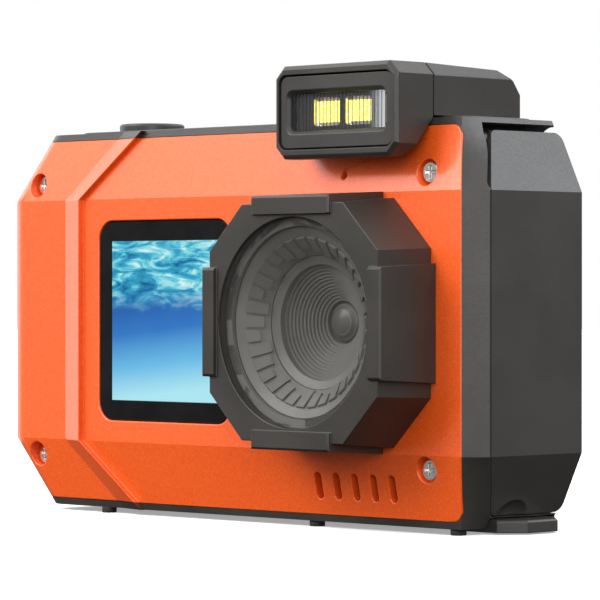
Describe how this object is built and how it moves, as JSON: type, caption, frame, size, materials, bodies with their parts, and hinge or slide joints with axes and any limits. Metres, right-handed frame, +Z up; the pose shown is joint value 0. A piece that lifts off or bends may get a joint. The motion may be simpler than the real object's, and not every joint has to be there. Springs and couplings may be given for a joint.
{
  "type": "action camera",
  "caption": "Compact waterproof action camera with orange front, black frame, eight-sided lens housing, front and rear screens, and a lamp on the top deck.",
  "frame": {"origin": "centre of the object's footprint, on the surface that the feet stand on", "axes": "the lens and front screen face -Y, the door side is +X, +Z is up"},
  "size_m": [0.1156, 0.0384, 0.076],
  "materials": {
    "orange_paint": "satin metallic flake",
    "black_plastic": "fine matte texture",
    "dark_plastic": "matte",
    "key_plastic": "satin",
    "screen_glass": "polished",
    "display": "picture area behind glass",
    "smoky_glass": "clear, lightly tinted",
    "lens_black": "satin",
    "optical_glass": "coated",
    "lamp_clear": "ribbed, clear",
    "reflector_metal": "bright",
    "led_phosphor": "moulded",
    "screw_steel": "bright",
    "pin_steel": "ground",
    "insert_brass": "turned",
    "seal_rubber": "matte",
    "foot_rubber": "matte",
    "board_green": "solder mask",
    "metal_shell": "stamped",
    "battery_wrap": "printed film"
  },
  "bodies": {
    "body": {"battery": "battery_wrap", "battery_tray": "dark_plastic", "button_board": "board_green", "button_switches": "dark_plastic", "card_slot": "metal_shell", "door_hinge_pin": "pin_steel", "feet": "foot_rubber", "front_cover": "orange_paint", "front_display": "display", "front_lens_element": "optical_glass", "front_screen_glass": "screen_glass", "front_screws": "screw_steel", "image_sensor": "display", "lamp_bezel": "dark_plastic", "lamp_board": "board_green", "lamp_front_shell": "black_plastic", "lamp_leds": "led_phosphor", "lamp_lens": "lamp_clear", "lamp_rear_shell": "black_plastic", "lamp_reflector": "reflector_metal", "latch_screw": "screw_steel", "lens_barrel": "lens_black", "lens_cone": "lens_black", "lens_housing": "black_plastic", "lens_window": "smoky_glass", "main_board": "board_green", "main_seal": "seal_rubber", "memory_card": "dark_plastic", "microphone": "metal_shell", "mid_frame": "black_plastic", "rear_cover": "black_plastic", "rear_display": "display", "rear_lens_element": "optical_glass", "rear_screen_glass": "screen_glass", "rear_screws": "screw_steel", "rear_seal": "seal_rubber", "rib_ring": "lens_black", "rocker_pin": "pin_steel", "sensor_board": "board_green", "shutter_spring": "pin_steel", "speaker": "dark_plastic", "top_deck": "black_plastic", "tripod_insert": "insert_brass", "usb_port": "metal_shell", "window_seal": "seal_rubber"},
    "shutter": {"shutter_button": "key_plastic"},
    "power": {"power_button": "key_plastic"},
    "rocker": {"zoom_rocker": "key_plastic"},
    "mode": {"mode_button": "key_plastic"},
    "play": {"play_button": "key_plastic"},
    "menu": {"menu_button": "key_plastic"},
    "screen": {"screen_button": "key_plastic"},
    "pad": {"four_way_pad": "key_plastic"},
    "ok": {"ok_button": "key_plastic"},
    "door": {"side_door": "black_plastic", "door_seal": "seal_rubber"},
    "latch": {"door_latch": "black_plastic"}
  },
  "joints": [
    {"name": "shutter_press", "type": "slide", "parent": "body", "child": "shutter", "axis": [0, 0, -1], "range_m": [0, 0.0007], "stiffness_N_per_m": 600, "deforming": ["shutter_spring"]},
    {"name": "power_press", "type": "slide", "parent": "body", "child": "power", "axis": [0, 0, -1], "range_m": [0, 0.0004], "stiffness_N_per_m": 400},
    {"name": "zoom_rock", "type": "hinge", "parent": "body", "child": "rocker", "pos_m": [-0.0335, 0.0173, 0.0578], "axis": [0, 0, 1], "range_deg": [-4, 4], "stiffness_Nm_per_rad": 0.02},
    {"name": "mode_press", "type": "slide", "parent": "body", "child": "mode", "axis": [0, -1, 0], "range_m": [0, 0.0005], "stiffness_N_per_m": 400},
    {"name": "play_press", "type": "slide", "parent": "body", "child": "play", "axis": [0, -1, 0], "range_m": [0, 0.0005], "stiffness_N_per_m": 400},
    {"name": "menu_press", "type": "slide", "parent": "body", "child": "menu", "axis": [0, -1, 0], "range_m": [0, 0.0005], "stiffness_N_per_m": 400},
    {"name": "screen_press", "type": "slide", "parent": "body", "child": "screen", "axis": [0, -1, 0], "range_m": [0, 0.0005], "stiffness_N_per_m": 400},
    {"name": "pad_press", "type": "slide", "parent": "body", "child": "pad", "axis": [0, -1, 0], "range_m": [0, 0.0004], "stiffness_N_per_m": 400},
    {"name": "ok_press", "type": "slide", "parent": "body", "child": "ok", "axis": [0, -1, 0], "range_m": [0, 0.0005], "stiffness_N_per_m": 400},
    {"name": "door_swing", "type": "hinge", "parent": "body", "child": "door", "pos_m": [0.0515, 0.009, 0.0631], "axis": [0, -1, 0], "range_deg": [0, 85]},
    {"name": "latch_slide", "type": "slide", "parent": "body", "child": "latch", "axis": [0, 1, 0], "range_m": [0, 0.0015]}
  ]
}
